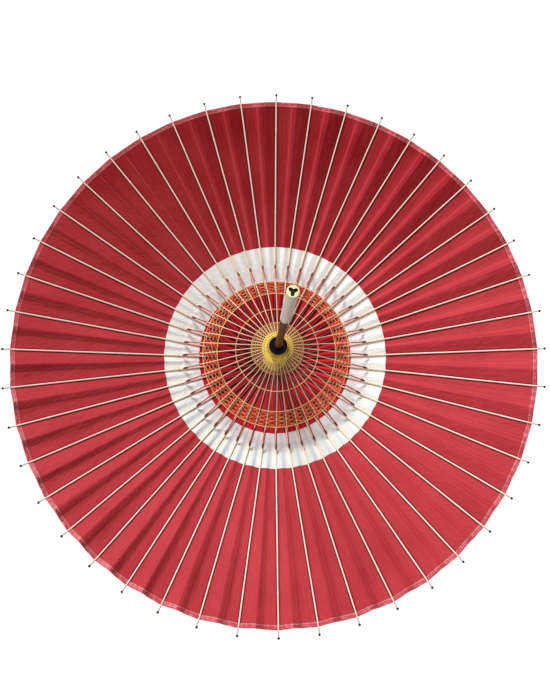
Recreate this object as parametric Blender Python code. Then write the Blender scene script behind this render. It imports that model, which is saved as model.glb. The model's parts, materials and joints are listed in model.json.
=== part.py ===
"""Oil paper umbrella, open: bamboo ribs, a paper canopy, two slotted hubs and a straight handle.

Units are metres and degrees. +Z is up, and the origin is the centre of the handle's flat butt end.
Every rib swings on the top hub, and the runner slides down the shaft to fold them.
"""

import math

import bmesh
import bpy
from mathutils import Matrix, Vector

# Ribs
RIB_COUNT = 44
RIB_SLOPE = 17.06  # below horizontal when open
RIB_REACH = 0.5335  # hinge to tip
RIB_TAIL = 0.002  # behind the hinge
RIB_TOP = 0.002  # from the hinge line up to the rib's upper edge
RIB_HEAD_WIDTH = 0.0013
HINGE_RADIUS = 0.021
HINGE_Z = 0.7415
JOINT_ALONG = 0.184  # hinge to the joint with the short rib

# Shaft and handle
SHAFT_RADIUS = 0.00675
SHAFT_BOTTOM = 0.0083
SHAFT_TOP = 0.7680
BORE_RADIUS = 0.00705
GRIP_RADIUS = 0.00925
GRIP_TOP = 0.2230
BUTT_HEIGHT = 0.0080
BUTT_RECESS_RADIUS = 0.0045
BUTT_RECESS_DEPTH = 0.0030

# Runner, at the bottom of the short ribs
RUNNER_PIVOT_RADIUS = 0.0165
RUNNER_PIVOT_Z = 0.5560
RUNNER_TOP = 0.5850
COLLAR_BOTTOM = 0.5400
COLLAR_TOP = 0.5465
COLLAR_RADIUS = 0.0175

# Catch, a sprung wedge in the shaft that the runner rests on
CATCH_WIDTH = 0.0030
CATCH_PROUD = 0.0028
CATCH_BOTTOM = 0.5080
CATCH_TOP = 0.5394
KEYWAY_WIDTH = 0.0040
KEYWAY_RADIUS = 0.0103

# Paper
PAPER_THICK = 0.0004
PAPER_LIFT = 0.0010  # above the ribs' upper edges
CANOPY_INNER_RADIUS = 0.0260
WHITE_INNER_RADIUS = 0.1570
WHITE_OUTER_RADIUS = 0.2270
RIM_STRIP_RADIUS = 0.5070
RIM_RADIUS = 0.5160
STRIP_INNER_RADIUS = 0.1640
STRIP_OUTER_RADIUS = 0.2000

GAP = 0.0003  # between pieces that touch
PITCH = 2 * math.pi / RIB_COUNT


def startClean():
    for thing in list(bpy.data.objects):
        bpy.data.objects.remove(thing, do_unlink=True)


def finishOf(name, colour, roughness, metallic=0.0):
    material = bpy.data.materials.new(name)
    material.use_nodes = True
    shader = material.node_tree.nodes["Principled BSDF"]
    shader.inputs["Base Color"].default_value = (*colour, 1.0)
    shader.inputs["Roughness"].default_value = roughness
    shader.inputs["Metallic"].default_value = metallic
    return material


def emptyAt(name, place, parent=None):
    """A parent empty on a joint's axis or at a group's reference point."""
    empty = bpy.data.objects.new(name, None)
    empty.location = place if parent is None else Vector(place) - parent.location
    empty.parent = parent
    bpy.context.scene.collection.objects.link(empty)
    return empty


def pieceOf(name, shape, material, parent):
    """Makes the object of a shape that was modelled in world coordinates."""
    bmesh.ops.translate(shape, vec=-parent.location, verts=shape.verts)
    bmesh.ops.recalc_face_normals(shape, faces=shape.faces)
    mesh = bpy.data.meshes.new(name)
    shape.to_mesh(mesh)
    shape.free()
    mesh.shade_smooth()
    mesh.set_sharp_from_angle(angle=math.radians(35))
    mesh.materials.append(material)
    piece = bpy.data.objects.new(name, mesh)
    piece.parent = parent
    bpy.context.scene.collection.objects.link(piece)
    return piece


def turned(profile, steps, ring=True):
    """A solid of revolution about Z. A ring's profile is a closed loop clear of the axis."""
    shape = bmesh.new()
    corners = [shape.verts.new((radius, 0, height)) for radius, height in profile]
    pairs = zip(corners, corners[1:] + corners[:1]) if ring else zip(corners, corners[1:])
    edges = [shape.edges.new(pair) for pair in pairs]
    bmesh.ops.spin(shape, geom=corners + edges, cent=(0, 0, 0), axis=(0, 0, 1),
                   angle=2 * math.pi, steps=steps, use_merge=True)
    bmesh.ops.remove_doubles(shape, verts=shape.verts, dist=1e-6)
    return shape


def ringOfCells(levels, ribBands, gapBands):
    """A ring of cells, in turns one around a rib and one in the gap beside it.

    levels holds (radius, width at the rib, bottom, top) from the inside out, and the bands say
    which of the cells between two levels are solid.
    """
    shape = bmesh.new()
    columns = 2 * RIB_COUNT
    grid = []
    for column in range(columns):
        rib, side = divmod(column, 2)
        line = []
        for radius, width, bottom, top in levels:
            half = math.asin(width / 2 / radius)
            angle = rib * PITCH + (half if side else -half)
            spot = radius * math.cos(angle), radius * math.sin(angle)
            line.append([shape.verts.new((*spot, bottom)), shape.verts.new((*spot, top))])
        grid.append(line)
    last = len(levels) - 1

    def solid(column, band):
        if not 0 <= band < last:
            return False
        return (gapBands if column % 2 else ribBands)[band]

    for column in range(columns):
        here, there = grid[column], grid[(column + 1) % columns]
        for band in range(last):
            if not solid(column, band):
                continue
            for layer in (0, 1):
                shape.faces.new((here[band][layer], here[band + 1][layer],
                                 there[band + 1][layer], there[band][layer]))
            walls = ((solid(column, band - 1), here[band], there[band]),
                     (solid(column, band + 1), here[band + 1], there[band + 1]),
                     (solid(column - 1, band), here[band], here[band + 1]),
                     (solid(column + 1, band), there[band], there[band + 1]))
            for filled, one, other in walls:
                if not filled:
                    shape.faces.new((one[0], one[1], other[1], other[0]))
    bmesh.ops.delete(shape, geom=[v for v in shape.verts if not v.link_faces], context="VERTS")
    return shape


def blockOf(low, high):
    shape = bmesh.new()
    bmesh.ops.create_cube(shape, size=1)
    sides = Vector(high) - Vector(low)
    bmesh.ops.scale(shape, vec=sides, verts=shape.verts)
    bmesh.ops.translate(shape, vec=(Vector(high) + Vector(low)) / 2, verts=shape.verts)
    return shape


def cutFrom(piece, cutter):
    cut = piece.modifiers.new(cutter.name, "BOOLEAN")
    cut.operation = "DIFFERENCE"
    cut.object = cutter
    cutter.hide_render = True
    cutter.display_type = "WIRE"


def alongRib(radius, lift):
    """(radius, height) of the point at this radius, lift above the line through the hinge and the tip."""
    slope = math.radians(RIB_SLOPE)
    along = (radius - HINGE_RADIUS - lift * math.sin(slope)) / math.cos(slope)
    return radius, HINGE_Z - along * math.sin(slope) + lift * math.cos(slope)


def paperRing(inner, outer, low, high):
    """A conical sheet between two radii, flat between neighbouring ribs."""
    corners = [alongRib(inner, low), alongRib(outer, low), alongRib(outer, high), alongRib(inner, high)]
    return turned(corners, RIB_COUNT)


def makeHandle(root):
    wood = finishOf("stained_bamboo", (0.16, 0.075, 0.03), 0.45)
    wrap = finishOf("pale_wrap", (0.74, 0.66, 0.50), 0.6)
    butt = finishOf("pale_end_wood", (0.83, 0.75, 0.42), 0.55)
    shaft = pieceOf("shaft", turned([(0, SHAFT_BOTTOM), (SHAFT_RADIUS, SHAFT_BOTTOM),
                                     (SHAFT_RADIUS, SHAFT_TOP), (0, SHAFT_TOP)], 32, ring=False),
                    wood, root)
    half = CATCH_WIDTH / 2 + GAP
    slot = pieceOf("catch_slot_cutter",
                   blockOf((-0.0005, -half, CATCH_BOTTOM - 0.001),
                           (2 * SHAFT_RADIUS, half, CATCH_TOP + 0.001)), wood, root)
    cutFrom(shaft, slot)
    pieceOf("grip_wrap", turned([(BORE_RADIUS, SHAFT_BOTTOM), (GRIP_RADIUS, SHAFT_BOTTOM),
                                 (GRIP_RADIUS, GRIP_TOP - 0.001), (GRIP_RADIUS - 0.001, GRIP_TOP),
                                 (BORE_RADIUS, GRIP_TOP)], 32), wrap, root)
    recess = BUTT_RECESS_RADIUS
    pieceOf("butt_cap", turned([(0, BUTT_RECESS_DEPTH), (recess, BUTT_RECESS_DEPTH), (recess, 0),
                                (GRIP_RADIUS - 0.0006, 0), (GRIP_RADIUS, 0.0006),
                                (GRIP_RADIUS, BUTT_HEIGHT), (0, BUTT_HEIGHT)], 32, ring=False),
            butt, root)


def makeTop(root):
    wood = finishOf("hub_wood", (0.62, 0.42, 0.22), 0.6)
    lacquer = finishOf("top_lacquer", (0.02, 0.018, 0.018), 0.25)
    cord = finishOf("cap_cord_silk", (0.55, 0.05, 0.05), 0.8)
    paper = finishOf("cap_oil_paper", (0.50, 0.02, 0.03), 0.4)
    tooth = HINGE_RADIUS - 0.0035
    bore = (BORE_RADIUS, BORE_RADIUS * math.sin(PITCH / 4) * 2, HINGE_Z - 0.0195, HINGE_Z + 0.011)
    hub = [bore,
           (0.0125, 0.0012, HINGE_Z - 0.0195, HINGE_Z + 0.011),
           (tooth, 0.0018, HINGE_Z - 0.007, HINGE_Z + 0.006),
           (HINGE_RADIUS + 0.003, 0.0018, HINGE_Z - 0.007, HINGE_Z + 0.006)]
    pieceOf("top_hub", ringOfCells(hub, (True, True, False), (True, True, True)), wood, root)

    neck, skirt = 0.0078, 0.0450
    outer, height = alongRib(skirt, RIB_TOP + PAPER_LIFT + PAPER_THICK + GAP)
    low = [(neck, 0.7608), (neck, 0.7570), (0.0250, 0.7500), (outer, height)]
    high = [(neck + 0.0005, 0.7608), (neck + 0.0005, 0.7574), (0.0250, 0.7505), (outer, height + 0.0005)]
    pieceOf("cap_paper", turned(low + high[::-1], RIB_COUNT), paper, root)
    thick = 0.0011
    turns = [(neck + 0.0005 + GAP + thick + thick * math.cos(k * math.pi / 3),
              0.7590 + thick * math.sin(k * math.pi / 3)) for k in range(6)]
    pieceOf("cap_cord", turned(turns, 32), cord, root)
    top = SHAFT_TOP + GAP
    pieceOf("ferrule", turned([(0, top), (BORE_RADIUS, top), (BORE_RADIUS, 0.7612), (0.0092, 0.7612),
                               (0.0098, 0.7650), (0.0088, 0.7735), (0.0060, 0.7750), (0, 0.7750)],
                              32, ring=False), lacquer, root)


def makeRunner(frame):
    wood = finishOf("runner_wood", (0.66, 0.47, 0.24), 0.6)
    lacquer = finishOf("collar_lacquer", (0.012, 0.011, 0.013), 0.12)
    rib = finishOf("short_rib_bamboo", (0.80, 0.66, 0.45), 0.5)
    pivot = RUNNER_PIVOT_Z
    bottom = COLLAR_TOP + GAP
    bore = (BORE_RADIUS, BORE_RADIUS * math.sin(PITCH / 4) * 2, bottom, RUNNER_TOP)
    levels = [bore,
              (0.0120, 0.0011, bottom, RUNNER_TOP),
              (RUNNER_PIVOT_RADIUS - 0.0025, 0.0015, bottom, pivot + 0.0075),
              (RUNNER_PIVOT_RADIUS + 0.0030, 0.0015, bottom, pivot + 0.0060)]
    runner = pieceOf("runner", ringOfCells(levels, (True, True, False), (True, True, True)), wood, frame)
    collar = pieceOf("runner_collar",
                     turned([(BORE_RADIUS, COLLAR_BOTTOM), (COLLAR_RADIUS - 0.0012, COLLAR_BOTTOM),
                             (COLLAR_RADIUS, COLLAR_BOTTOM + 0.0012), (COLLAR_RADIUS, COLLAR_TOP),
                             (BORE_RADIUS, COLLAR_TOP)], 44), lacquer, frame)
    keyway = pieceOf("keyway_cutter",
                     blockOf((0, -KEYWAY_WIDTH / 2, COLLAR_BOTTOM - 0.01),
                             (KEYWAY_RADIUS, KEYWAY_WIDTH / 2, RUNNER_TOP + 0.01)), lacquer, frame)
    cutFrom(runner, keyway)
    cutFrom(collar, keyway)

    # The short ribs rise from the runner to the long ribs, and two rings of thread tie them.
    jointRadius, jointZ = alongRib(HINGE_RADIUS + JOINT_ALONG * math.cos(math.radians(RIB_SLOPE)), 0)
    start, end = RUNNER_PIVOT_RADIUS - 0.0022, jointRadius - 0.0060
    rise = (jointZ - pivot) / (jointRadius - RUNNER_PIVOT_RADIUS)
    stations = [(start, 0.0011), (0.0805, 0.0018), (0.0815, 0.0018),
                (0.1450, 0.0022), (0.1460, 0.0022), (end, 0.0022)]
    cage = []
    for radius, width in stations:
        middle = pivot + rise * (radius - RUNNER_PIVOT_RADIUS)
        cage.append((radius, width, middle - 0.0012, middle + 0.0012))
    threads = (False, True, False, True, False)
    pieceOf("short_rib_cage", ringOfCells(cage, (True,) * len(threads), threads), rib, frame)


def makeCatch(frame):
    metal = finishOf("catch_brass", (0.60, 0.42, 0.18), 0.35, 1.0)
    inner, outer = frame.location.x, SHAFT_RADIUS + CATCH_PROUD
    outline = [(inner, CATCH_BOTTOM), (SHAFT_RADIUS - 0.0006, CATCH_BOTTOM), (outer, CATCH_TOP - 0.0030),
               (outer, CATCH_TOP), (inner, CATCH_TOP)]
    shape = bmesh.new()
    face = shape.faces.new([shape.verts.new((x, -CATCH_WIDTH / 2, z)) for x, z in outline])
    grown = bmesh.ops.extrude_face_region(shape, geom=[face])["geom"]
    moved = [item for item in grown if isinstance(item, bmesh.types.BMVert)]
    bmesh.ops.translate(shape, vec=(0, CATCH_WIDTH, 0), verts=moved)
    pieceOf("catch_spring", shape, metal, frame)


def makePaper(root):
    red = finishOf("red_oil_paper", (0.48, 0.012, 0.022), 0.4)
    white = finishOf("white_oil_paper", (0.72, 0.72, 0.70), 0.45)
    low = RIB_TOP + PAPER_LIFT
    high = low + PAPER_THICK
    pieceOf("canopy_centre", paperRing(CANOPY_INNER_RADIUS, WHITE_INNER_RADIUS, low, high), red, root)
    pieceOf("canopy_white_ring",
            paperRing(WHITE_INNER_RADIUS + GAP, WHITE_OUTER_RADIUS, low, high), white, root)
    pieceOf("canopy_outer",
            paperRing(WHITE_OUTER_RADIUS + GAP, RIM_STRIP_RADIUS, low, high), red, root)
    pieceOf("rim_strip",
            paperRing(RIM_STRIP_RADIUS + GAP, RIM_RADIUS, low - 0.0002, high + 0.0002), red, root)
    pieceOf("joint_strip",
            paperRing(STRIP_INNER_RADIUS, STRIP_OUTER_RADIUS, RIB_TOP + GAP, low - GAP), white, root)


def ribMesh(bamboo):
    """One long rib along +X from its hinge at the origin, slim at the hub and wide at the tip."""
    sections = [(-RIB_TAIL, RIB_HEAD_WIDTH, 0.0040), (0.010, RIB_HEAD_WIDTH, 0.0042),
                (0.060, 0.0020, 0.0044), (JOINT_ALONG, 0.0028, 0.0048),
                (0.380, 0.0032, 0.0038), (RIB_REACH, 0.0032, 0.0034)]
    shape = bmesh.new()
    rings = []
    for along, width, depth in sections:
        corners = ((-1, RIB_TOP), (1, RIB_TOP), (1, RIB_TOP - depth), (-1, RIB_TOP - depth))
        rings.append([shape.verts.new((along, side * width / 2, height)) for side, height in corners])
    for one, other in zip(rings, rings[1:]):
        for k in range(4):
            shape.faces.new((one[k], one[k - 1], other[k - 1], other[k]))
    shape.faces.new(rings[0])
    shape.faces.new(rings[-1][::-1])
    bmesh.ops.recalc_face_normals(shape, faces=shape.faces)
    mesh = bpy.data.meshes.new("long_rib")
    shape.to_mesh(mesh)
    shape.free()
    mesh.materials.append(bamboo)
    return mesh


def makeLongRibs(hub):
    mesh = ribMesh(finishOf("long_rib_bamboo", (0.78, 0.66, 0.46), 0.5))
    for number in range(RIB_COUNT):
        rib = bpy.data.objects.new(f"long_rib_{number + 1:02d}", mesh)
        rib.parent = hub
        rib.matrix_local = (Matrix.Rotation(number * PITCH, 4, "Z")
                            @ Matrix.Translation((HINGE_RADIUS, 0, 0))
                            @ Matrix.Rotation(math.radians(RIB_SLOPE), 4, "Y"))
        bpy.context.scene.collection.objects.link(rib)


def main():
    startClean()
    root = emptyAt("umbrella", (0, 0, 0))
    hubFrame = emptyAt("hub_frame", (0, 0, HINGE_Z), root)
    runnerFrame = emptyAt("runner_frame", (0, 0, RUNNER_PIVOT_Z), root)
    catchFrame = emptyAt("catch_frame", (SHAFT_RADIUS - 0.0033, 0, CATCH_TOP), root)
    makeHandle(root)
    makeTop(root)
    makeRunner(runnerFrame)
    makeCatch(catchFrame)
    makePaper(root)
    makeLongRibs(hubFrame)


main()
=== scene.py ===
import json
import math
import random

import bpy
from mathutils import Matrix, Vector, noise

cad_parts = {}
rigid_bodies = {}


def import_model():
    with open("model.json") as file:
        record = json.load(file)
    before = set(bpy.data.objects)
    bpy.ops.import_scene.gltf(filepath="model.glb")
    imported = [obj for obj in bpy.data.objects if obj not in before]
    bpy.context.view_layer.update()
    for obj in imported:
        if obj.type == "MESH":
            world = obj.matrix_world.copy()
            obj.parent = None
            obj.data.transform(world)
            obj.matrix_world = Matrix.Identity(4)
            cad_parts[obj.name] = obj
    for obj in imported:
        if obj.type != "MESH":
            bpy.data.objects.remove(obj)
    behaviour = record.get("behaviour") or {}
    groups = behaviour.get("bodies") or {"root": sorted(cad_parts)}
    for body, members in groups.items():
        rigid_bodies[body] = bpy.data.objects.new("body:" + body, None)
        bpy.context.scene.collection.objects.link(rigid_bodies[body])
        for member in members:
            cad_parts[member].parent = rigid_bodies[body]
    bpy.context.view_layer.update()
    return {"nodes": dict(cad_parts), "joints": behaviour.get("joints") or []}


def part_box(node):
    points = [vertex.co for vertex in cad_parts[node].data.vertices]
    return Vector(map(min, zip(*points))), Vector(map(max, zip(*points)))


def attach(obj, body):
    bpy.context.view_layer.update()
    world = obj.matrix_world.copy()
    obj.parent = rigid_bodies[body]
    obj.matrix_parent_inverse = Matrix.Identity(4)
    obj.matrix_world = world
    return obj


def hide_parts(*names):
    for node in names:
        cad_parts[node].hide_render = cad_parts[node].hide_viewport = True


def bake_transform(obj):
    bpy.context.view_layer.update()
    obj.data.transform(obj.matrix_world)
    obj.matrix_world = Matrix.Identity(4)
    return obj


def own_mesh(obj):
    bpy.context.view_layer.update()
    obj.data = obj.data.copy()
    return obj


for thing in list(bpy.data.objects):
    bpy.data.objects.remove(thing, do_unlink=True)
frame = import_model()
random.seed(44)

# sizes read from the frame, in metres
hinges = [joint for joint in frame["joints"] if joint["name"].startswith("rib_hinge")]
ribCount = len(hinges)
pitch = 2 * math.pi / ribCount
hingeRadius, hingeHeight = hinges[0]["pos_m"][0], hinges[0]["pos_m"][2]
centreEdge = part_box("canopy_centre")[1].x
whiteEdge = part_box("canopy_white_ring")[1].x
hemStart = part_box("canopy_outer")[1].x
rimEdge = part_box("rim_strip")[1].x
gripRadius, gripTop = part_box("grip_wrap")[1].x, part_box("grip_wrap")[1].z
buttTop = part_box("butt_cap")[1].z
shaftLow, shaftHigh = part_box("shaft")
collarLow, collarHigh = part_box("runner_collar")
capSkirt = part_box("cap_paper")[1].x

umbrella = {
    "slope": math.radians(17.06),  # of the open ribs, below level
    "ribLength": 0.5335,
    "pivotRadius": 0.0165,  # short ribs on the runner
    "pivotHeight": 0.5560,
    "joint": 0.184,  # along a long rib, where its short rib meets it
}
sinSlope, cosSlope = math.sin(umbrella["slope"]), math.cos(umbrella["slope"])
jointRadius = hingeRadius + umbrella["joint"] * cosSlope
jointHeight = hingeHeight - umbrella["joint"] * sinSlope
shortSlope = math.atan2(jointHeight - umbrella["pivotHeight"], jointRadius - umbrella["pivotRadius"])
print(f"frame loaded: {ribCount} ribs")


# one output socket, so that shader maths reads as plain expressions
class Wire:
    def __init__(self, tree, socket=None):
        self.tree, self.socket = tree, socket

    def node(self, kind, settings=None, inputs=None, output=0):
        made = self.tree.nodes.new(kind)
        for name, value in (settings or {}).items():
            setattr(made, name, value)
        for name, value in (inputs or {}).items():
            if isinstance(value, Wire):
                self.tree.links.new(value.socket, made.inputs[name])
            else:
                made.inputs[name].default_value = value
        return Wire(self.tree, made.outputs[output])

    def maths(self, operation, *values):
        return self.node("ShaderNodeMath", {"operation": operation}, dict(enumerate(values)))

    def __add__(self, other):
        return self.maths("ADD", self, other)

    def __sub__(self, other):
        return self.maths("SUBTRACT", self, other)

    def __rsub__(self, other):
        return self.maths("SUBTRACT", other, self)

    def __mul__(self, other):
        return self.maths("MULTIPLY", self, other)

    __rmul__ = __mul__

    def __truediv__(self, other):
        return self.maths("DIVIDE", self, other)

    def size(self):
        return self.maths("ABSOLUTE", self)

    def atLeast(self, other):
        return self.maths("MAXIMUM", self, other)

    def atMost(self, other):
        return self.maths("MINIMUM", self, other)

    def within(self, low, high):
        # 0 at low, 1 at high, smooth between; low may be the larger
        ends = {"Value": self, "From Min": low, "From Max": high}
        return self.node("ShaderNodeMapRange", {"interpolation_type": "SMOOTHSTEP"}, ends)

    def parts(self):
        split = self.node("ShaderNodeSeparateXYZ", inputs={"Vector": self})
        outputs = split.socket.node.outputs
        return [Wire(self.tree, outputs[axis]) for axis in "XYZ"]

    def joined(self, x, y, z):
        return self.node("ShaderNodeCombineXYZ", inputs={"X": x, "Y": y, "Z": z})

    def scaled(self, x, y, z):
        return self.node("ShaderNodeVectorMath", {"operation": "MULTIPLY"}, {0: self, 1: (x, y, z)})

    def noise(self, scale, detail=3.0, roughness=0.55):
        inputs = {"Vector": self, "Scale": scale, "Detail": detail, "Roughness": roughness}
        return self.node("ShaderNodeTexNoise", inputs=inputs, output="Fac")

    def mix(self, one, other, share):
        # the Mix node's colour sockets are its 6th and 7th, and its colour output the 2nd
        one, other = (colour if isinstance(colour, Wire) else (*colour, 1.0) for colour in (one, other))
        return self.node("ShaderNodeMix", {"data_type": "RGBA"}, {0: share, 6: one, 7: other}, output=2)

    def bump(self, height, strength, distance):
        inputs = {"Height": height, "Strength": strength, "Distance": distance}
        return self.node("ShaderNodeBump", inputs=inputs)


def feed(shader, colour, roughness=None, normal=None):
    for name, wire in (("Base Color", colour), ("Roughness", roughness), ("Normal", normal)):
        if wire:
            wire.tree.links.new(wire.socket, shader.inputs[name])


def newFinish(name, **fixed):
    finish = bpy.data.materials.new(name)
    finish.use_nodes = True
    shader = finish.node_tree.nodes["Principled BSDF"]
    names = {"roughness": "Roughness", "coat": "Coat Weight", "coatRoughness": "Coat Roughness",
             "specular": "Specular IOR Level", "metallic": "Metallic", "sheen": "Sheen Weight"}
    for key, value in fixed.items():
        shader.inputs[names[key]].default_value = value
    return finish, shader, Wire(finish.node_tree)


# the place stored with each point of a mesh, in millimetres
def meshSpot(start):
    return start.node("ShaderNodeAttribute", {"attribute_name": "spot"}, output="Vector")


def objectPlace(start):
    return start.node("ShaderNodeTexCoord", output="Object")


view = {
    "tilt": (-13.93, -2.90, -0.44),  # how the umbrella stands to the camera, degrees about X, Y, Z
    "aside": (-0.027, 0.209),
    "away": 1.907,
    "lens": 50.93,
    "shift": (-0.0234, -0.1512),
}
light = {
    "lamps": [  # name, where it comes from, strength, softness in degrees
        ("key", (-0.14, -0.42, -0.44), 2.85, 19),
        ("fill", (-0.72, 0.16, -0.34), 0.95, 30),
        ("above", (0.35, -0.25, 0.90), 0.85, 15)],
    "sky": 0.36,
    "backdrop": 1.05,
    "tint": (1.0, 0.995, 0.985),
    "floor": -2.6,  # height: far below, because the camera looks up into the umbrella
    "floorSize": 40,
    "floorColours": ((0.47, 0.47, 0.46), (0.50, 0.50, 0.49)),
}


def makeCamera():
    turns = [Matrix.Rotation(math.radians(angle), 3, axis) for angle, axis in zip(view["tilt"], "XYZ")]
    toWorld = (turns[0] @ turns[1] @ turns[2]).transposed()
    tips = Vector((0, 0, hingeHeight - umbrella["ribLength"] * sinSlope))
    lens = bpy.data.cameras.new("camera")
    lens.lens = view["lens"]
    lens.shift_x, lens.shift_y = view["shift"]
    camera = bpy.data.objects.new("camera", lens)
    camera.matrix_world = (toWorld @ Matrix.Diagonal((1, -1, -1))).to_4x4()
    camera.location = tips - toWorld @ Vector((*view["aside"], view["away"]))
    bpy.context.scene.collection.objects.link(camera)
    bpy.context.scene.camera = camera


def makeStudio():
    for name, source, strength, softness in light["lamps"]:
        lamp = bpy.data.lights.new(name, "SUN")
        lamp.energy = strength
        lamp.angle = math.radians(softness)
        holder = bpy.data.objects.new(name, lamp)
        holder.rotation_euler = Vector(source).to_track_quat("Z", "Y").to_euler()
        bpy.context.scene.collection.objects.link(holder)

    world = bpy.data.worlds.new("studio")
    bpy.context.scene.world = world
    world.use_nodes = True
    backdrop = world.node_tree.nodes["Background"]
    backdrop.inputs["Color"].default_value = (*light["tint"], 1)
    seen = Wire(world.node_tree).node("ShaderNodeLightPath", output="Is Camera Ray")
    strength = seen * (light["backdrop"] - light["sky"]) + light["sky"]
    world.node_tree.links.new(strength.socket, backdrop.inputs["Strength"])

    bpy.ops.mesh.primitive_plane_add(size=light["floorSize"], location=(0, 0, light["floor"]))
    floor = bpy.context.object
    floor.name = "floor"
    floor.visible_shadow = False
    finish, shader, start = newFinish("floor_paint", roughness=0.9)
    feed(shader, colour=start.mix(*light["floorColours"], objectPlace(start).noise(2.0)))
    floor.data.materials.append(finish)
    bpy.context.scene.view_settings.view_transform = "Standard"


makeCamera()
makeStudio()
print("camera, light and floor")


# collects the points and faces of one piece
class Maker:
    def __init__(self):
        self.points, self.faces, self.finishes, self.spots = [], [], [], []

    def point(self, place, spot=(0, 0, 0)):
        self.points.append(tuple(place))
        self.spots.append(tuple(spot))
        return len(self.points) - 1

    def face(self, corners, finish=0):
        self.faces.append(tuple(corners))
        self.finishes.append(finish)

    def band(self, one, other, finish=0, closed=True):
        count = len(one)
        for k in range(count if closed else count - 1):
            n = (k + 1) % count
            self.face((one[k], one[n], other[n], other[k]), finish)

    # rings joined one after the other, with a face on each end
    def loft(self, rings, finish=0, spots=None):
        made = []
        for r, ring in enumerate(rings):
            made.append([self.point(p, spots[r][k] if spots else (0, 0, 0)) for k, p in enumerate(ring)])
        for one, other in zip(made, made[1:]):
            self.band(one, other, finish)
        self.face(made[0][::-1], finish)
        self.face(made[-1], finish)

    # rings joined in a loop, the last to the first
    def loop(self, rings, finish=0):
        made = [[self.point(p) for p in ring] for ring in rings]
        for one, other in zip(made, made[1:] + made[:1]):
            self.band(one, other, finish)

    # a thin closed sheet from two grids of points
    def sheet(self, under, over):
        for one, other in zip(under, under[1:]):
            self.band(one, other, closed=False)
        for one, other in zip(over, over[1:]):
            self.band(other, one, closed=False)
        self.band(over[0], under[0], closed=False)
        self.band(under[-1], over[-1], closed=False)
        self.band([line[0] for line in under], [line[0] for line in over], closed=False)
        self.band([line[-1] for line in over], [line[-1] for line in under], closed=False)

    def tube(self, path, radius, sides=6, finish=0, closed=False):
        rings = []
        turns = [2 * math.pi * s / sides for s in range(sides)]
        count = len(path)
        for k, place in enumerate(path):
            before = path[k - 1] if closed or k else path[0]
            after = path[(k + 1) % count] if closed or k < count - 1 else path[-1]
            ahead = (after - before).normalized()
            side = ahead.cross(Vector((0, 0, 1)))
            side = side.normalized() if side.length > 1e-3 else Vector((1, 0, 0))
            up = side.cross(ahead)
            rings.append([place + radius * (math.cos(t) * side + math.sin(t) * up) for t in turns])
        if closed:
            self.loop(rings, finish)
        else:
            self.loft(rings, finish)

    def ball(self, centre, radius, finish=0):
        rows, sides = 6, 10
        turns = [2 * math.pi * s / sides for s in range(sides)]
        rings = []
        for r in range(1, rows):
            up = math.pi * r / rows
            rings.append([self.point(centre + polar(radius * math.sin(up), t, radius * math.cos(up)))
                          for t in turns])
        top = self.point(centre + Vector((0, 0, radius)))
        bottom = self.point(centre - Vector((0, 0, radius)))
        for one, other in zip(rings, rings[1:]):
            self.band(other, one, finish)
        for k in range(sides):
            n = (k + 1) % sides
            self.face((top, rings[0][k], rings[0][n]), finish)
            self.face((bottom, rings[-1][n], rings[-1][k]), finish)

    # body is None for a piece that is attached to no body
    def finish(self, name, body, slot, *finishes, sharp=40):
        mesh = bpy.data.meshes.new(name)
        mesh.from_pydata(self.points, [], self.faces)
        spots = mesh.attributes.new("spot", "FLOAT_VECTOR", "POINT")
        spots.data.foreach_set("vector", [value for spot in self.spots for value in spot])
        for finish in finishes:
            mesh.materials.append(finish)
        mesh.polygons.foreach_set("material_index", self.finishes)
        mesh.shade_smooth()
        mesh.set_sharp_from_angle(angle=math.radians(sharp))
        mesh.validate()
        piece = bpy.data.objects.new(name, mesh)
        bpy.context.scene.collection.objects.link(piece)
        if body:
            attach(piece, body)
        return piece


# rings of a turned shape about Z, from its (radius, height) outline
def turned(profile, segments):
    turns = [2 * math.pi * s / segments for s in range(segments)]
    return [[Vector((r * math.cos(t), r * math.sin(t), h)) for t in turns] for r, h in profile]


# an open outline with its inner corners rounded
def rounded(corners, radius, steps):
    line = [corners[0]]
    for before, corner, after in zip(corners, corners[1:], corners[2:]):
        here = Vector(corner)
        back, on = Vector(before) - here, Vector(after) - here
        cut = min(radius, back.length * 0.49, on.length * 0.49)
        start, end = here + back.normalized() * cut, here + on.normalized() * cut
        for k in range(steps + 1):
            t = k / steps
            line.append(tuple((1 - t) ** 2 * start + 2 * t * (1 - t) * here + t * t * end))
    line.append(corners[-1])
    return line


def polar(radius, angle, height):
    return Vector((radius * math.cos(angle), radius * math.sin(angle), height))


# gives places by (along, across, lift) on a straight arm that leaves the axis at this slope
def arm(azimuth, originRadius, originHeight, slope):
    out = Vector((math.cos(azimuth), math.sin(azimuth), 0))
    side = Vector((-out.y, out.x, 0))
    up = Vector((0, 0, 1))
    ahead = math.cos(slope) * out + math.sin(slope) * up
    above = math.cos(slope) * up - math.sin(slope) * out
    origin = originRadius * out + originHeight * up
    return lambda along, across, lift: origin + along * ahead + across * side + lift * above


# eight corners of a split rib's section, with eased edges, or a ridge where roof says how deep
def barRing(place, along, width, top, bottom, shift=0.0, roof=None):
    half = width / 2
    cut = min(width, top - bottom) * 0.28
    drop = roof or cut
    ridge = half - cut if roof is None else half * 0.35
    outline = [(-ridge, top), (ridge, top), (half, top - drop), (half, bottom + cut),
               (half - cut, bottom), (-half + cut, bottom), (-half, bottom + cut), (-half, top - drop)]
    ring = [place(along, shift + x, z) for x, z in outline]
    return ring, [(along * 1000, x * 1000, z * 1000) for x, z in outline]


# reads a table of (value, results...) with straight lines between its rows
def between(value, table):
    for one, other in zip(table, table[1:]):
        if value <= other[0]:
            share = max(0.0, (value - one[0]) / (other[0] - one[0]))
            return [a + (b - a) * share for a, b in zip(one[1:], other[1:])]
    return list(table[-1][1:])


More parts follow.
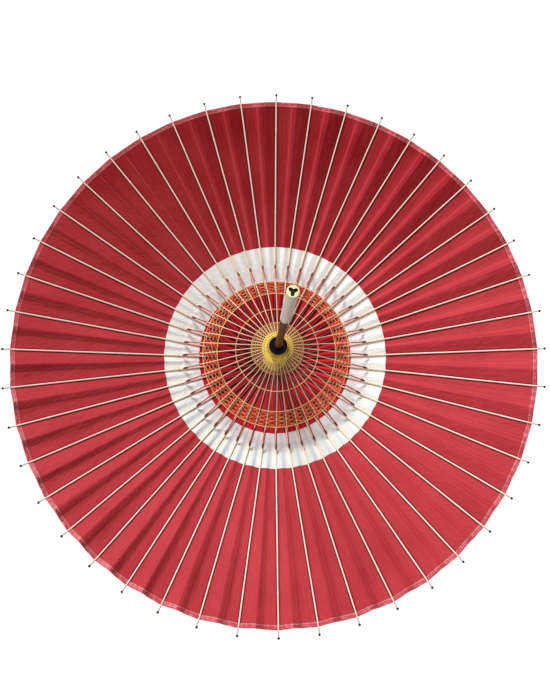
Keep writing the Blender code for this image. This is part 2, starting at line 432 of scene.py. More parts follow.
# height of the paper's surface in millimetres: fibres, fine tooth, creases and soft cockles
def paperTexture(start, spot, place, folded=1.0):
    fibres = place.noise(420, 4, 0.7)
    tooth = place.noise(1500, 2, 0.6)
    across, radius, toFold = spot.parts()
    streaks = start.joined(across * 0.9, radius * 0.02, 0.0).noise(1.0, 3, 0.6)
    cockles = start.joined(across * 0.10, radius * 0.035, 0.0).noise(1.0, 3, 0.55)
    # shades the fold between two ribs: gentle from one rib, steep to the other
    phase = toFold / (radius * pitch)
    fold = (phase + 0.21).atLeast(0.0).atMost(0.21 - phase * 0.50)
    outside = start.node("ShaderNodeNewGeometry", output="Normal").parts()[2].within(-0.1, 0.1)
    relief = fold * radius * pitch * (outside * -0.56 + 0.28)
    creases = start.joined(across * 0.14 + radius * 0.05, radius * 0.055, 0.0).noise(1.0, 3, 0.6)
    rough = fibres * 0.09 + tooth * 0.05 + streaks * 0.16 + creases.within(0.40, 0.60) * 0.34
    return rough + cockles * 0.85 + relief * folded


redPaperLook = {
    "deep": (0.25, 0.005, 0.011),
    "light": (0.55, 0.052, 0.063),
    # fold: the lighter red of the painted highlight along each fold, and of random specks
    "fold": (0.74, 0.085, 0.095),
    # painted shadow beside the ribs
    "ribShadow": (0.12, 0.003, 0.006),
    "paintedShadeAlongY": (-0.50, 0.0),  # painted shade: the paper is painted darker towards -Y, over this stretch of Y
}


def makeRedPaper(name, look):
    finish, shader, start = newFinish(name, specular=0.07)
    spot, place = meshSpot(start), objectPlace(start)
    across, radius, toFold = spot.parts()
    # painted shade: the paper turns lighter from -Y towards the middle, as if lit more there
    paintedLitShare = place.parts()[1].within(*look["paintedShadeAlongY"])
    patches = place.noise(9, 4, 0.6).within(0.30, 0.72)
    streaks = start.joined(across * 0.55, radius * 0.012, 0.0).noise(1.0, 4, 0.65)
    lightShare = paintedLitShare * 0.56 + patches * 0.23 + (streaks.within(0.28, 0.72) * 0.24 - 0.03)
    colour = start.mix(look["deep"], look["light"], lightShare)
    specks = place.noise(260, 2, 0.5).within(0.66, 0.74)
    colour = start.mix(colour, look["fold"], specks * 0.20)
    # painted highlight: a lighter line along each fold, where the steep face meets the light
    fold = (toFold + 0.020 * radius).size().within(3.2, 0.2)
    colour = start.mix(colour, look["fold"], fold * 0.30)
    # painted shadow: a dark line along both sides of each rib
    ribShadow = across.size().within(4.6, 2.5)
    colour = start.mix(colour, look["ribShadow"], ribShadow * 0.84)
    height = paperTexture(start, spot, place)
    feed(shader, colour=colour, roughness=patches * 0.10 + 0.45, normal=start.bump(height, 1.0, 0.001))
    return finish


whitePaperLook = {
    "clear": (0.95, 0.96, 0.96),
    "paintedShadeGrey": (0.67, 0.71, 0.74),
    "oiled": (0.88, 0.87, 0.74),
    "strip": (0.92, 0.88, 0.89),
    "edge": (0.97, 0.96, 0.95),
    "fibre": (0.66, 0.71, 0.76),
    "wedge": (0.34, 0.05, 0.05),
    "stripEdge": 187.0,  # outer radius of the joint strip, in millimetres
}


def makeWhitePaper(look):
    finish, shader, start = newFinish("white_oil_paper", specular=0.25)
    spot, place = meshSpot(start), objectPlace(start)
    across, radius, _ = spot.parts()
    away = across.size()
    nearRib = (away / radius).within(0.055, 0.012)
    patches = place.noise(38, 4, 0.6).within(0.35, 0.7)
    # painted shade: the white paper turns grey towards +Y
    colour = start.mix(look["clear"], look["paintedShadeGrey"], place.parts()[1].within(-0.02, 0.20))
    colour = start.mix(colour, look["oiled"], nearRib * 0.75 + patches * 0.18)
    strip = radius.within(look["stripEdge"] + 0.4, look["stripEdge"] - 0.4)
    colour = start.mix(colour, look["strip"], strip * (patches * 0.35 + 0.45))
    edge = (radius - (look["stripEdge"] + 1.0)).size().within(1.1, 0.3)
    colour = start.mix(colour, look["edge"], edge * 0.6)
    fibres = start.joined(across * 0.5, radius * 0.16, 0.0).noise(1.0, 4, 0.7).within(0.48, 0.70)
    colour = start.mix(colour, look["fibre"], fibres * 0.34)
    # a dark red wedge beside each joint: partly the red paper under the strip showing, partly painted shadow
    # of the short ribs' ends
    wedge = (away + (radius - centreEdge * 1000) * 0.035).within(3.3, 2.3) * strip
    colour = start.mix(colour, look["wedge"], wedge * 0.60)
    height = paperTexture(start, spot, place, 0.25)
    feed(shader, colour=colour, roughness=patches * 0.12 + 0.44, normal=start.bump(height, 1.0, 0.001))
    return finish


hemLook = {
    "base": (0.50, 0.045, 0.060),
    "light": (0.86, 0.36, 0.38),
    "dark": (0.16, 0.006, 0.012),
}


def makeHemPaper(look):
    finish, shader, start = newFinish("rim_strip_paper", specular=0.35)
    spot, place = meshSpot(start), objectPlace(start)
    across, radius, _ = spot.parts()
    # painted highlights: light dashes along the strip
    highlightDashes = start.joined(across * 0.10, radius * 0.45, 0.0).noise(1.0, 3, 0.6).within(0.48, 0.66)
    patches = place.noise(30, 3, 0.6)
    colour = start.mix(look["base"], look["light"], highlightDashes * 0.62 * patches.within(0.30, 0.62))
    # a painted highlight along the strip's inner edge, and painted shade at its cut
    inner = (radius - (hemStart * 1000 + 1.6)).size().within(1.3, 0.3)
    colour = start.mix(colour, look["light"], inner * 0.34)
    cut = (radius - hemStart * 1000).within(0.9, 0.2)
    colour = start.mix(colour, look["dark"], cut * 0.8)
    height = paperTexture(start, spot, place)
    feed(shader, colour=colour, roughness=patches * 0.15 + 0.34, normal=start.bump(height, 1.0, 0.001))
    return finish


bambooLook = {
    "pale": (1.0, 0.79, 0.69),
    "straw": (0.96, 0.66, 0.51),
    "hubShade": (0.17, 0.022, 0.014),  # painted shade: dark red near the hub
    "tip": (0.36, 0.33, 0.20),
    "node": (0.48, 0.31, 0.15),
}


# the ends of the painted shade near the hub, of the gold and of the tip are places along the rib, in
# millimetres
def makeBamboo(name, look, hubShadeTo=0.0, tipFrom=0.0, goldTo=0.0):
    finish, shader, start = newFinish(name, specular=0.4, coatRoughness=0.3)
    spot, place = meshSpot(start), objectPlace(start)
    along, across, lift = spot.parts()
    grain = start.joined(along * 0.02, across * 2.6, lift * 2.6).noise(1.0, 4, 0.65)
    patches = start.joined(along * 0.03, place.noise(14, 2) * 6, 0.0).noise(1.0, 3, 0.6)
    strawShare = grain.within(0.35, 0.75) * 0.5 + patches.within(0.35, 0.75) * 0.4
    colour = start.mix(look["pale"], look["straw"], strawShare)
    pores = start.joined(along * 0.12, across * 9, lift * 9).noise(1.0, 2, 0.5).within(0.62, 0.72)
    colour = start.mix(colour, look["node"], pores * 0.35)
    # painted shade: the rib turns dark red towards the hub
    if hubShadeTo:
        hubShade = along.within(hubShadeTo + 12, hubShadeTo - 12)
        colour = start.mix(colour, look["hubShade"], hubShade * 0.94)
    if goldTo:
        gold = along.within(goldTo + 14, goldTo - 10)
        colour = start.mix(colour, look["gold"], gold * 0.9)
    if tipFrom:
        colour = start.mix(colour, look["tip"], along.within(tipFrom - 3, tipFrom + 3) * 0.85)
    height = grain * 0.8 + pores * 0.3
    feed(shader, colour=colour, roughness=grain * 0.2 + 0.36, normal=start.bump(height, 0.35, 0.0003))
    return finish


def makeThread(name, one, other):
    finish, shader, start = newFinish(name, sheen=0.15, specular=0.35)
    place = objectPlace(start)
    strands = place.noise(900, 3, 0.6)
    patches = place.noise(85, 3, 0.6).within(0.38, 0.62)
    colour = start.mix(one, other, patches * 0.8 + strands * 0.2)
    feed(shader, colour=colour, roughness=strands * 0.3 + 0.45, normal=start.bump(strands, 0.5, 0.0002))
    return finish


def makeLacquer(name, colour, worn, roughness):
    finish, shader, start = newFinish(name, coat=0.06, coatRoughness=0.10, specular=0.12)
    place = objectPlace(start)
    haze = place.noise(90, 4, 0.6)
    scuffs = place.scaled(1, 1, 6).noise(700, 2, 0.5).within(0.66, 0.74)
    feed(shader, colour=start.mix(colour, worn, scuffs * 0.3 + haze * 0.08),
         roughness=haze * 0.14 + roughness, normal=start.bump(haze, 0.08, 0.0004))
    return finish


# the grain runs along Z
def makeWood(name, one, other, dark, scale=1.0, roughness=0.5, coat=0.0):
    finish, shader, start = newFinish(name, coat=coat, coatRoughness=0.25, specular=0.20)
    place = objectPlace(start)
    grain = place.scaled(900 * scale, 900 * scale, 16 * scale).noise(1.0, 5, 0.65)
    broad = place.scaled(120 * scale, 120 * scale, 6 * scale).noise(1.0, 3, 0.5)
    colour = start.mix(one, other, grain.within(0.32, 0.70) * 0.7 + broad * 0.3)
    pores = place.scaled(2600 * scale, 2600 * scale, 40 * scale).noise(1.0, 2, 0.5).within(0.62, 0.70)
    colour = start.mix(colour, dark, pores * 0.55)
    feed(shader, colour=colour, roughness=grain * 0.2 + (roughness - 0.1),
         normal=start.bump(grain * 0.8 - pores * 0.5, 0.35, 0.0003))
    return finish


redPaper = makeRedPaper("red_oil_paper", redPaperLook)
centrePaper = makeRedPaper("red_centre_paper", {**redPaperLook, "deep": (0.46, 0.003, 0.008),
                                                "light": (0.64, 0.014, 0.020)})
whitePaper = makeWhitePaper(whitePaperLook)
hemPaper = makeHemPaper(hemLook)
capPaper = makeRedPaper("cap_oil_paper", {**redPaperLook, "deep": (0.20, 0.010, 0.014),
                                          "light": (0.36, 0.020, 0.028)})
longBamboo = makeBamboo("long_rib_bamboo", bambooLook, hubShadeTo=132, tipFrom=518)
shortBamboo = makeBamboo("short_rib_bamboo", {**bambooLook, "pale": (0.96, 0.72, 0.54),
                                              "straw": (0.86, 0.52, 0.34),
                                              "gold": (0.97, 0.74, 0.10)}, goldTo=17)
laceThread = makeThread("lace_thread", (0.62, 0.11, 0.03), (0.97, 0.56, 0.18))
hubThread = makeThread("hub_gold_thread", (0.90, 0.62, 0.07), (1.0, 0.86, 0.22))
edgeThread = makeThread("edge_thread", (0.90, 0.42, 0.16), (0.98, 0.68, 0.30))
goldThread = makeThread("gold_thread", (0.48, 0.22, 0.05), (0.80, 0.50, 0.12))
wrapThread = makeThread("joint_wrap_thread", (0.44, 0.055, 0.045), (0.60, 0.13, 0.10))
bindThread = makeThread("binding_thread", (0.14, 0.014, 0.012), (0.24, 0.030, 0.022))
tipLacquer = makeLacquer("tip_lacquer", (0.020, 0.018, 0.016), (0.10, 0.09, 0.07), 0.25)
blackLacquer = makeLacquer("black_lacquer", (0.006, 0.005, 0.009), (0.03, 0.025, 0.04), 0.08)
shaftWood = makeWood("stained_bamboo", (0.040, 0.008, 0.003), (0.110, 0.027, 0.009), (0.010, 0.003, 0.001),
                     coat=0.06, roughness=0.42)
gripWood = makeWood("pale_grip", (0.96, 0.92, 0.82), (0.86, 0.79, 0.66), (0.52, 0.42, 0.30), roughness=0.55)
endWood = makeWood("end_wood", (0.94, 0.90, 0.56), (0.84, 0.76, 0.36), (0.42, 0.34, 0.14), 0.8, 0.5)
hubWood = makeWood("hub_wood", (0.92, 0.66, 0.09), (0.98, 0.80, 0.14), (0.35, 0.20, 0.05), 0.7, 0.55)
cordSilk = makeThread("cap_cord_silk", (0.45, 0.03, 0.04), (0.62, 0.08, 0.08))
print("finishes")


paper = {
    "lift": 0.00235,  # underside, above the line through hinge and tip
    "thick": 0.00032,
    "innerRadius": 0.026,
    "foldDepth": 0.112,  # of the pitch, at the fold
    "foldPlace": 0.58,  # share of the way from one rib to the next
    "rowLength": 0.0055,
    "strip": 0.187,  # outer radius of the joint strip
    "stripThick": 0.00028,
    "hemThick": 0.00030,
    "hemInset": 0.0012,  # of the outer paper's edge inside the rim strip
    "keep": {"centre": 0.22, "white": 0.16, "outer": 0.098, "hem": 0.092},  # of the width, when folded
}
foldPlaces = [paper["foldPlace"] + random.gauss(0, 0.030) for _ in range(ribCount)]
foldDepths = [paper["foldDepth"] * random.uniform(0.78, 1.18) for _ in range(ribCount)]
foldSteeps = [random.uniform(0.50, 0.60) for _ in range(ribCount)]
# columns from rib to fold, closer together near both
columnPlaces = [0, 0.035, 0.07, 0.11, 0.17, 0.25, 0.34, 0.44, 0.54, 0.64, 0.74, 0.83, 0.91, 0.965, 1]


# height of a point that lies this far above the line of a rib
def onRib(radius, lift):
    along = (radius - hingeRadius - lift * sinSlope) / cosSlope
    return hingeHeight - along * sinSlope + lift * cosSlope


def smooth(value):
    value = min(1.0, max(0.0, value))
    return value * value * (3 - 2 * value)


# how far the paper dips into the umbrella between two ribs
def foldOf(gap, phase, radius):
    gap %= ribCount
    crease = foldPlaces[gap] + 0.020 * noise.noise(Vector((gap * 5.1, radius * 9, 0)))
    if phase <= crease:  # a gentle slope from the rib, then a steep one up to the fold
        share = 0.22 * phase / crease + 0.78 * smooth((phase / crease - foldSteeps[gap]) / 0.40)
    else:
        share = 1 - (1 - (1 - phase) / (1 - crease)) ** 1.35
    grown = 0.30 + 0.70 * smooth((radius - 0.15) / 0.08)
    width = radius * pitch
    depth = share * foldDepths[gap] * width * grown
    pinned = math.sin(math.pi * phase) ** 0.7
    slant = radius * 26 + phase * 2.4
    soft = noise.noise(Vector((gap * 7.3, slant, phase * 2.0)))
    fine = noise.noise(Vector((gap * 3.7 + 40, radius * 95, phase * 5.5)))
    lengthwise = noise.noise(Vector((gap * 9.1 + 80, radius * 6, phase * 11)))
    return depth + pinned * width * (0.019 * soft + 0.006 * fine + 0.015 * lengthwise)


def paperPoint(gap, phase, radius, lift):
    one, other = gap * pitch, (gap + 1) * pitch
    middle = (gap + phase) * pitch
    place = Vector((radius * ((1 - phase) * math.cos(one) + phase * math.cos(other)),
                    radius * ((1 - phase) * math.sin(one) + phase * math.sin(other)),
                    onRib(radius, lift)))
    outward = Vector((sinSlope * math.cos(middle), sinSlope * math.sin(middle), cosSlope))
    return place - outward * foldOf(gap, phase, radius)


def underside(radius):
    return paper["lift"]


def upperSide(radius):
    return paper["lift"] + paper["thick"]


# the joint strip is a second layer on the inner part of the white ring
def stripUnderside(radius):
    return paper["lift"] - (paper["stripThick"] if radius < paper["strip"] + 1e-5 else 0)


def hemBulge(radius):
    edge = min(abs(radius - hemStart), abs(radius - rimEdge))
    return paper["hemThick"] * (1.0 if edge > 0.0005 else 0.45)


def hemUnderside(radius):
    return underside(radius) - hemBulge(radius)


def hemUpperSide(radius):
    return upperSide(radius) + hemBulge(radius)


# (gap, phase) of each column across the gore of one rib, from fold to fold
def goreColumns(rib):
    before = [(rib - 1, 1 - (1 - foldPlaces[rib - 1]) * t) for t in columnPlaces[:0:-1]]
    return before + [(rib, foldPlaces[rib] * t) for t in columnPlaces]


# a thin closed sheet over one rib, as far as the folds beside it
def goreSheet(rib, rows, low=underside, high=upperSide):
    make = Maker()
    columns = goreColumns(rib)
    layers = []
    for lift in (low, high):
        grid = []
        for radius in rows:
            line = []
            for gap, phase in columns:
                place = paperPoint(gap, phase, radius, lift(radius))
                across = radius * (gap + phase - rib) * pitch * 1000
                toFold = radius * (phase - foldPlaces[gap]) * pitch * 1000
                line.append(make.point(place, (across, radius * 1000, toFold)))
            grid.append(line)
        layers.append(grid)
    make.sheet(*layers)
    return make


def rowsOf(inner, outer):
    steps = round((outer - inner) / paper["rowLength"])
    return [inner + (outer - inner) * k / steps for k in range(steps + 1)]


# gives a piece its own copy of its mesh
def foldIn(piece):
    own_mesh(piece)


def makeCanopy():
    strip, keep = paper["strip"], paper["keep"]
    centreRows = rowsOf(paper["innerRadius"], centreEdge)
    whiteRows = sorted([row for row in rowsOf(centreEdge, whiteEdge) if abs(row - strip) > 0.002] + [strip])
    outerRows = rowsOf(whiteEdge, rimEdge - paper["hemInset"])
    hemRows = [hemStart, hemStart + 0.0006, hemStart + 0.003, rimEdge - 0.003, rimEdge - 0.0006, rimEdge]
    for rib in range(ribCount):
        tag, body = f"{rib + 1:02d}", f"rib_{rib + 1:02d}"
        centre = goreSheet(rib, centreRows).finish(f"centre_gore_{tag}", body, "red_paper", centrePaper)
        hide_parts("canopy_centre")
        white = goreSheet(rib, whiteRows, stripUnderside).finish(
            f"white_gore_{tag}", body, "white_paper", whitePaper)
        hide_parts("canopy_white_ring", "joint_strip")
        outer = goreSheet(rib, outerRows).finish(f"outer_gore_{tag}", body, "red_paper", redPaper)
        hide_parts("canopy_outer")
        hem = goreSheet(rib, hemRows, hemUnderside, hemUpperSide).finish(
            f"rim_strip_{tag}", body, "rim_paper", hemPaper)
        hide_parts("rim_strip")
        foldIn(centre)
        foldIn(white)
        foldIn(outer)
        foldIn(hem)


makeCanopy()
print("canopy gores")


longRib = {
    "sections": [  # along, width, top, bottom
        (-0.0020, 0.0013, 0.0019, -0.0020), (0.0000, 0.0013, 0.0020, -0.0022),
        (0.0100, 0.0013, 0.0020, -0.0022), (0.0600, 0.0020, 0.0020, -0.0024),
        (0.1500, 0.0026, 0.0020, -0.0027), (0.1840, 0.0029, 0.0020, -0.0028),
        (0.2000, 0.0027, 0.0020, -0.0026), (0.3800, 0.0028, 0.0019, -0.0018),
        (0.5080, 0.0028, 0.0019, -0.0014), (0.5200, 0.0022, 0.0015, -0.0009),
        (0.5310, 0.0018, 0.0012, -0.0007)],
    "ends": [-0.002, 0, 0.006, 0.012, 0.508, 0.514, 0.520, 0.531],  # rings near both ends
    "step": 0.0166,  # from ring to ring between them
    "nodes": (0.292, 0.455),  # the bamboo's own joints, in a ring because one cane makes all ribs
    "nodeLength": 0.003,
    "tipBall": 0.0025,
    "wander": 0.00035,
    "ridge": 0.0013,  # depth of the ridge that the paper lies on
    "knotThread": 0.00028,
}


def makeLongRib(rib):
    make = Maker()
    place = arm(rib * pitch, hingeRadius, hingeHeight, -umbrella["slope"])
    nodes = [spot + random.gauss(0, 0.0025) for spot in longRib["nodes"]]
    stops = longRib["ends"] + [0.012 + longRib["step"] * k for k in range(1, 30)]
    for spot in nodes:
        stops += [spot - 0.004, spot - 0.0012, spot, spot + 0.0012, spot + 0.004]
    phase = random.uniform(0, 10)
    rings, spots = [], []
    for along in sorted(set(stops)):
        width, top, bottom = between(along, longRib["sections"])
        swell = max([0] + [1 - abs(along - spot) / longRib["nodeLength"] for spot in nodes])
        width += 0.0005 * swell
        bottom -= 0.0003 * swell
        free = min(1, max(0, along / 0.1)) * min(1, max(0.0, (umbrella["ribLength"] - along) / 0.08))
        shift = longRib["wander"] * free * noise.noise(Vector((phase, along * 9, rib)))
        ring, spot = barRing(place, along, width, top, bottom, shift, roof=min(longRib["ridge"], top * 0.7))
        rings.append(ring)
        spots.append(spot)
    make.loft(rings, 0, spots)
    tip = umbrella["ribLength"] - longRib["tipBall"]
    make.ball(place(tip, random.uniform(-0.0004, 0.0004), 0.0002), longRib["tipBall"], 1)
    # two turns of thread on each side of the joint
    turns = [math.pi * s / 6 for s in range(12)]
    for side in (-1, 1):
        for k in range(2):
            middle = umbrella["joint"] + (k - 0.5) * 0.0011
            across = side * (0.0017 + 0.0002 * k)
            knot = [place(middle + 0.0009 * math.cos(t) * 0.3, across, -0.0004 + 0.0013 * math.sin(t))
                    for t in turns]
            make.tube(knot, longRib["knotThread"], 5, 2, closed=True)
    piece = make.finish(f"bamboo_rib_{rib + 1:02d}", f"rib_{rib + 1:02d}", "rib_bamboo",
                        longBamboo, tipLacquer, bindThread, sharp=50)
    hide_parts(f"long_rib_{rib + 1:02d}")


for rib in range(ribCount):
    makeLongRib(rib)
print("long ribs")


shortRib = {
    "start": 0.0143, "end": 0.1905,  # radii
    "sections": [(0.0143, 0.0009), (0.0300, 0.0010), (0.0810, 0.0014), (0.1450, 0.0017), (0.1905, 0.0018)],
    "half": 0.0010,  # depth each way
    "band": (0.118, 0.147),  # the outer lacing
    "innerBand": (0.0212, 0.051),
    "goldTo": 0.0285,  # the lacing inside this radius is bright gold
    "ring": 0.081,
    "rows": 4,
    "innerRows": 6,
    "thread": 0.00050,
    "wrapThread": 0.00035,
    "laceLift": -0.0005,
    "bind": (0.1530, 0.1890),
    "bindPitch": 0.0011,
    "bindSwell": 0.00014,  # of each turn of the binding
    "knot": 0.1785,
    "knotBulge": 0.0009,
    "keep": 0.075,  # of the reach, when folded
}


def makeShortRib(rib):
    # the threads, in the order in which the piece lists its finishes
    lace, gold, bind, wrapping, border, hubGold = range(1, 7)
    make = Maker()
    angle = rib * pitch
    slopeCos = math.cos(shortSlope)
    place = arm(angle, umbrella["pivotRadius"], umbrella["pivotHeight"], shortSlope)

    def alongAt(radius):
        return (radius - umbrella["pivotRadius"]) / slopeCos

    # a place on this rib, or on a neighbour where turn is -1 or 1
    def laced(turn, radius):
        other = arm(angle + turn * pitch, umbrella["pivotRadius"], umbrella["pivotHeight"], shortSlope)
        return other(alongAt(radius), 0, shortRib["laceLift"])

    half = shortRib["half"]
    stops = [shortRib["start"] + (shortRib["end"] - shortRib["start"]) * k / 22 for k in range(23)]
    phase = random.uniform(0, 10)
    rings, spots = [], []
    for radius in stops:
        width = between(radius, shortRib["sections"])[0]
        free = min(1, (radius - shortRib["start"]) / 0.03)
        shift = 0.0004 * noise.noise(Vector((phase, radius * 25, 3))) * free
        ring, spot = barRing(place, alongAt(radius), width, half, -half, shift)
        rings.append(ring)
        spots.append(spot)
    make.loft(rings, 0, spots)

    # two turns of thread round this rib
    def wrap(radius, finish):
        thick = shortRib["wrapThread"]
        side = between(radius, shortRib["sections"])[0] / 2 + thick * 0.6
        deep = half + thick * 0.6
        for k in (-0.5, 0.5):
            along = alongAt(radius) + k * thick * 1.8
            corners = [place(along, side, deep), place(along, -side, deep), place(along, -side, -deep),
                       place(along, side, -deep)]
            make.tube(corners, thick, 6, finish, closed=True)

    # a thread from this rib at one radius towards each neighbour at another, to half way
    def crossing(one, other, finish, thick):
        for turn in (-1, 1):
            start, end = laced(0, one), laced(turn, other)
            make.tube([start, start.lerp(end, 0.25), start.lerp(end, 0.5)], thick, 6, finish)

    # one band of crossed threads
    def lacing(inner, outer, rows, thick, finish, edgeFinish):
        levels = [inner + (outer - inner) * k / rows for k in range(rows + 1)]
        for low, high in zip(levels, levels[1:]):
            look, size = (hubGold, 1.2) if low < shortRib["goldTo"] else (finish, 0.78)
            crossing(low, high, look, thick * size)
            crossing(high, low, look, thick * size)
        for level in (levels[0], levels[-1]):
            crossing(level, level, edgeFinish, thick * 1.25)
            wrap(level, finish)

    thread = shortRib["thread"]
    lacing(*shortRib["band"], shortRib["rows"], thread, lace, border)
    lacing(*shortRib["innerBand"], shortRib["innerRows"], thread * 0.85, gold, gold)
    crossing(shortRib["ring"], shortRib["ring"], border, thread * 1.15)
    wrap(shortRib["ring"], border)

    # binding on the outer end, with a dark knot at the joint
    first, knot, last = (alongAt(radius) for radius in
                         (shortRib["bind"][0], shortRib["knot"], shortRib["bind"][1]))
    for start, end, wide, finish in ((first, knot, 0.0, wrapping), (knot, last, shortRib["knotBulge"], bind)):
        count = round((end - start) / shortRib["bindPitch"])
        rings = []
        for k in range(2 * count + 1):
            along = start + (end - start) * k / (2 * count)
            swell = shortRib["bindSwell"] if k % 2 else 0.0
            bulge = wide * math.sin(math.pi * k / (2 * count)) + swell
            ring, _ = barRing(place, along, 0.0022 + 2 * bulge, half + 0.0002 + bulge, -half - 0.0002 - bulge)
            rings.append(ring)
        make.loft(rings, finish)

    piece = make.finish(f"short_rib_{rib + 1:02d}", "runner", "short_rib_bamboo",
                        shortBamboo, laceThread, goldThread, bindThread, wrapThread, edgeThread,
                        hubThread, sharp=50)
    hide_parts("short_rib_cage")
    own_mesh(piece)


for rib in range(ribCount):
    makeShortRib(rib)
print("short ribs and lacing")


def paint(node, finish):
    target = frame["nodes"][node]
    if not target.material_slots:
        target.data.materials.append(finish)
    for slot in target.material_slots:
        slot.material = finish


# the thread that holds the ribs' heads
def makeHubThread(name, radius, height, body):
    make = Maker()
    steps = ribCount * 4
    path = [polar(radius, 2 * math.pi * k / steps, height) for k in range(steps)]
    make.tube(path, 0.00045, 8, closed=True)
    make.finish(name, body, "hub_wood", goldThread)


def makeHubs():
    paint("top_hub", hubWood)
    paint("runner", hubWood)
    brass, shader, start = newFinish("catch_brass", metallic=1.0, specular=0.5)
    rub = objectPlace(start).scaled(1, 1, 0.1).noise(1800, 3)
    feed(shader, colour=start.mix((0.50, 0.33, 0.12), (0.72, 0.53, 0.26), rub),
         roughness=rub * 0.25 + 0.22, normal=start.bump(rub, 0.2, 0.0001))
    paint("catch_spring", brass)
    makeHubThread("hub_thread", hingeRadius, hingeHeight, "frame")
    makeHubThread("runner_thread", umbrella["pivotRadius"], umbrella["pivotHeight"], "runner")


# cuts a box out of a piece
def cutBox(piece, low, high):
    bpy.ops.mesh.primitive_cube_add(size=1)
    cutter = bpy.context.object
    cutter.scale = Vector(high) - Vector(low)
    cutter.location = (Vector(high) + Vector(low)) / 2
    cut = piece.modifiers.new("slot", "BOOLEAN")
    cut.object = cutter
    bpy.context.view_layer.update()
    bpy.context.view_layer.objects.active = piece
    with bpy.context.temp_override(object=piece, active_object=piece, selected_objects=[piece]):
        bpy.ops.object.modifier_apply(modifier="slot")
    bpy.data.objects.remove(cutter, do_unlink=True)
    piece.data.set_sharp_from_angle(angle=math.radians(35))


collar = {
    "bore": 0.00705,
    "keyway": (0.0103, 0.0040),  # reach from the axis and width: the catch passes through it
    "rounding": 0.0011,
}


def makeCollar():
    make = Maker()
    bore, outer = collar["bore"], collarHigh.x
    low, high = collarLow.z, collarHigh.z
    outline = [(bore, (low + high) / 2), (bore, low), (outer, low), (outer, high), (bore, high),
               (bore, (low + high) / 2)]
    make.loop(turned(rounded(outline, collar["rounding"], 5)[:-1], 96))
    piece = make.finish("collar", "runner", "black_lacquer", blackLacquer, sharp=35)
    reach, width = collar["keyway"]
    cutBox(piece, (0, -width / 2, low - 0.01), (reach, width / 2, high + 0.01))
    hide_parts("runner_collar")


makeHubs()
makeCollar()
print("hubs")


handle = {
    "nodes": (0.322, 0.452, 0.636),  # rings where the bamboo had its joints
    "nodeSwell": 0.00018,
    "nodeRidge": 0.0012,  # half length of each node's ridge, and of the crease above it
    "nodeCrease": 0.0005,
    "creaseAbove": 0.0022,
    "flutes": 26,
    "fluteDepth": 0.00007,
    "gap": 0.0001,  # between sleeve and shaft
    "recess": 0.0072,
    "recessDepth": 0.003,
}


def makeShaft():
    make = Maker()
    radius = shaftHigh.x
    heights = {shaftLow.z, shaftHigh.z - 0.0005, shaftHigh.z}
    ridge, crease, above = handle["nodeRidge"], handle["nodeCrease"], handle["creaseAbove"]
    for spot in handle["nodes"]:
        heights |= {spot + step for step in (-0.004, -0.0022, -0.0012, -0.0006, 0, 0.0006, 0.0014, 0.003)}
    heights |= {shaftLow.z + 0.02 * k for k in range(1, 38)}
    profile = [(0.0001, shaftLow.z)]
    for height in sorted(heights):
        swell = sum(math.exp(-((height - spot) / ridge) ** 2) for spot in handle["nodes"])
        dip = sum(math.exp(-((height - spot - above) / crease) ** 2) for spot in handle["nodes"])
        profile.append((radius - 0.00005 + handle["nodeSwell"] * (swell - dip), height))
    profile.append((0.0001, shaftHigh.z))
    make.loft(turned(profile, 48))
    piece = make.finish("bamboo_shaft", "frame", "stained_bamboo", shaftWood, sharp=35)
    low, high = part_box("catch_spring")
    cutBox(piece, (-0.0005, low.y - 0.0003, low.z - 0.001), (radius * 2, high.y + 0.0003, high.z + 0.001))
    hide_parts("shaft")


def makeGrip():
    make = Maker()
    inside, bottom = shaftHigh.x + handle["gap"], buttTop + 0.0003
    corners = [(inside, buttTop + 0.01), (inside, bottom), (gripRadius, bottom), (gripRadius, 0.10),
               (gripRadius - 0.0001, gripTop), (inside, gripTop), (inside, gripTop - 0.01)]
    segments = 130
    turns = [2 * math.pi * s / segments for s in range(segments)]
    rings = []
    for radius, height in rounded(corners, 0.0016, 6):
        depth = handle["fluteDepth"] if radius > gripRadius - 0.0008 else 0
        rings.append([polar(radius - depth * (1 + math.cos(t * handle["flutes"])), t, height) for t in turns])
    make.loop(rings)
    piece = make.finish("grip_sleeve", "frame", "pale_wrap", gripWood, sharp=60)
    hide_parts("grip_wrap")


# end block with a three pointed recess
def makeButt():
    make = Maker()
    recess, depth = handle["recess"], handle["recessDepth"]
    segments = 96
    turns = [2 * math.pi * s / segments for s in range(segments)]
    levels = [  # is it lobed, size, height: up the recess, out and round the block
        (False, 0.0002, depth), (True, recess - 0.0003, depth), (True, recess, depth - 0.0004),
        (True, recess, 0.0004), (True, recess + 0.0004, 0.0), (False, gripRadius - 0.0012, 0.0),
        (False, gripRadius - 0.0005, 0.00015), (False, gripRadius - 0.0001, 0.0006),
        (False, gripRadius, 0.0013), (False, gripRadius, buttTop - 0.0003),
        (False, gripRadius - 0.0003, buttTop), (False, 0.0002, buttTop)]

    def reach(isLobed, size, angle):
        return size * (0.72 + 0.28 * math.cos(3 * (angle - math.pi / 2 - 0.16))) if isLobed else size

    made = [[make.point(polar(reach(isLobed, size, t), t, height)) for t in turns]
            for isLobed, size, height in levels]
    for k, (one, other) in enumerate(zip(made, made[1:])):
        make.band(one, other, 1 if k < 3 else 0)
    make.face(made[0][::-1], 1)
    make.face(made[-1], 0)
    # painted shade: the inside of the recess is near-black
    dark = makeWood("recess_painted_shade", (0.020, 0.011, 0.007), (0.045, 0.022, 0.012), (0.008, 0.004, 0.003))
    piece = make.finish("butt_end", "frame", "end_wood", endWood, dark, sharp=35)
    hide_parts("butt_cap")


makeShaft()
makeGrip()
makeButt()
print("handle")


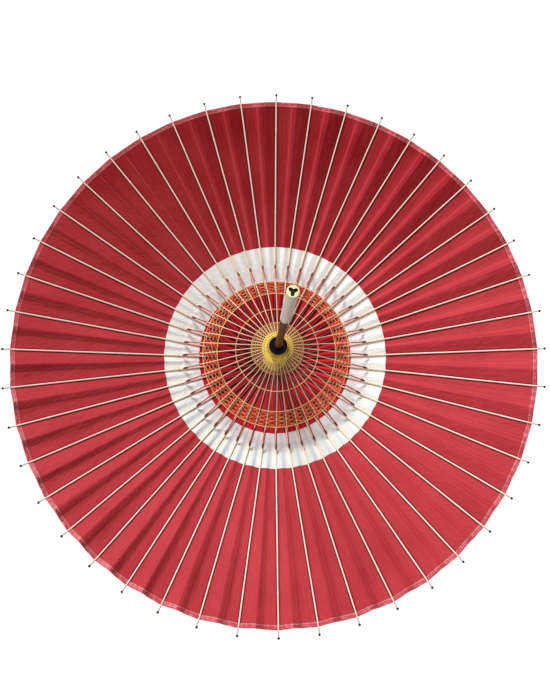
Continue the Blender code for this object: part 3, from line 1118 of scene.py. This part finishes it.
cap = {
    "neck": 0.0079,
    "cone": [(0.0079, 0.7592), (0.0110, 0.7562), (0.0225, 0.7512)],  # radius, height
    "pleat": 0.00045,
    "thick": 0.00030,
    "gather": 0.00022,  # depth of the gathers round the neck
    "crown": [(0.0087, 0.7566), (0.0083, 0.7583), (0.0084, 0.7600), (0.0091, 0.7608),
              (0.0086, 0.7610), (0.0078, 0.7602), (0.0077, 0.7583), (0.0080, 0.7566)],
    "rows": [0.0084, 0.0095, 0.011, 0.013, 0.0155, 0.018, 0.0205, 0.0225, 0.025, 0.0285, 0.032, 0.036,
             0.040, 0.0425, capSkirt],
}


# the cap paper: a flared cone and a skirt that lies on the canopy
def capPoint(radius, angle, lift):
    skirt = (capSkirt, onRib(capSkirt, paper["lift"] + paper["thick"] + 0.0009))
    height = between(radius, cap["cone"] + [skirt])[0]
    share = (radius - cap["neck"]) / (capSkirt - cap["neck"])
    fold = cap["pleat"] * math.sin(math.pi * min(1, share * 1.5)) * math.cos(angle / pitch * 2 * math.pi)
    return polar(radius, angle, height + fold * 0.6 + lift)


def makeCapNeck():
    make = Maker()
    segments = ribCount * 6
    turns = [2 * math.pi * s / segments for s in range(segments)]
    make.loop([[polar(radius + cap["gather"] * math.cos(t * ribCount), t, height) for t in turns]
               for radius, height in cap["crown"]])
    crown = make.finish("cap_neck", "frame", "cap_paper", capPaper, sharp=180)
    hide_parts("cap_paper")


def makeCapGore(rib):
    make = Maker()
    layers = []
    for lift in (0.0, cap["thick"]):
        grid = []
        for radius in cap["rows"]:
            line = []
            for k in range(7):
                turn = (k - 3) / 6
                spot = (turn * pitch * radius * 1000 * 8, radius * 1000, 99)
                line.append(make.point(capPoint(radius, (rib + turn) * pitch, lift), spot))
            grid.append(line)
        layers.append(grid)
    make.sheet(*layers)
    piece = make.finish(f"cap_gore_{rib + 1:02d}", None, "cap_paper", capPaper, sharp=60)
    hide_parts("cap_paper")
    angle = rib * pitch
    polar(0.018, angle, 0.752)
    polar(0.034, angle, 0.747)
    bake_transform(piece)


cord = {
    "radius": 0.0086,  # of the neck that it goes round
    "thick": 0.00052,
    "turns": 3,
    "steps": 40,  # in each turn
    "tails": ((-0.10, 0.006), (0.12, 0.005)),  # turn and length of each end
}


def makeCapCord():
    make = Maker()
    thick, steps = cord["thick"], cord["steps"]
    path = []
    for k in range(cord["turns"] * steps + 1):
        angle = 2 * math.pi * k / steps
        path.append(polar(cord["radius"] + thick, angle, 0.7576 + k / steps * thick * 1.8))
    make.tube(path, thick, 8)
    make.ball(polar(0.0094, 0, 0.7590), 0.0010)
    for turn, length in cord["tails"]:
        tail = [polar(0.0095 + length * s / 5, turn * (1 + s / 3), 0.7592 - 0.0007 * s ** 1.5 * 0.6)
                for s in range(6)]
        make.tube(tail, thick * 0.8)
    piece = make.finish("cap_cord_winding", "frame", "cap_cord", cordSilk)
    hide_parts("cap_cord")


def makeFerrule():
    make = Maker()
    bottom = shaftHigh.z + 0.0003
    outline = [(0.0071, bottom), (0.0071, 0.7616), (0.0092, 0.7616), (0.0098, 0.7650),
               (0.0088, 0.7735), (0.0060, 0.7749), (0.0001, 0.7750)]
    make.loft(turned([(0.0001, bottom)] + rounded(outline, 0.0007, 4), 64))
    piece = make.finish("top_cap", "frame", "black_lacquer", blackLacquer, sharp=35)
    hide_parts("ferrule")


makeCapNeck()
for rib in range(ribCount):
    makeCapGore(rib)
makeCapCord()
makeFerrule()
print("cap and ferrule")
